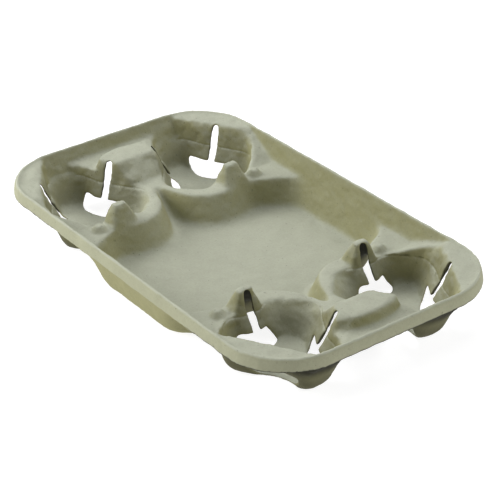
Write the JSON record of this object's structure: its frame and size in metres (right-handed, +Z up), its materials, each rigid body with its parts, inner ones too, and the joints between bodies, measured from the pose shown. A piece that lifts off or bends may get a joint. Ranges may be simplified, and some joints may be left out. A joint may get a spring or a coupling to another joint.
{
  "type": "moulded pulp cup carrier tray",
  "caption": "Rectangular moulded paper-pulp carrier tray with slotted cup wells at both ends, a food well between them and a folded skirt round the rim.",
  "frame": {"origin": "centre of the tray's outline, on the table that its floors stand on", "axes": "+X along the tray's length, +Y across it, +Z up"},
  "size_m": [0.412, 0.2376, 0.048],
  "materials": {
    "pulp": "matte moulded paper pulp"
  },
  "bodies": {
    "root": {"carrier_tray": "pulp"}
  },
  "joints": []
}
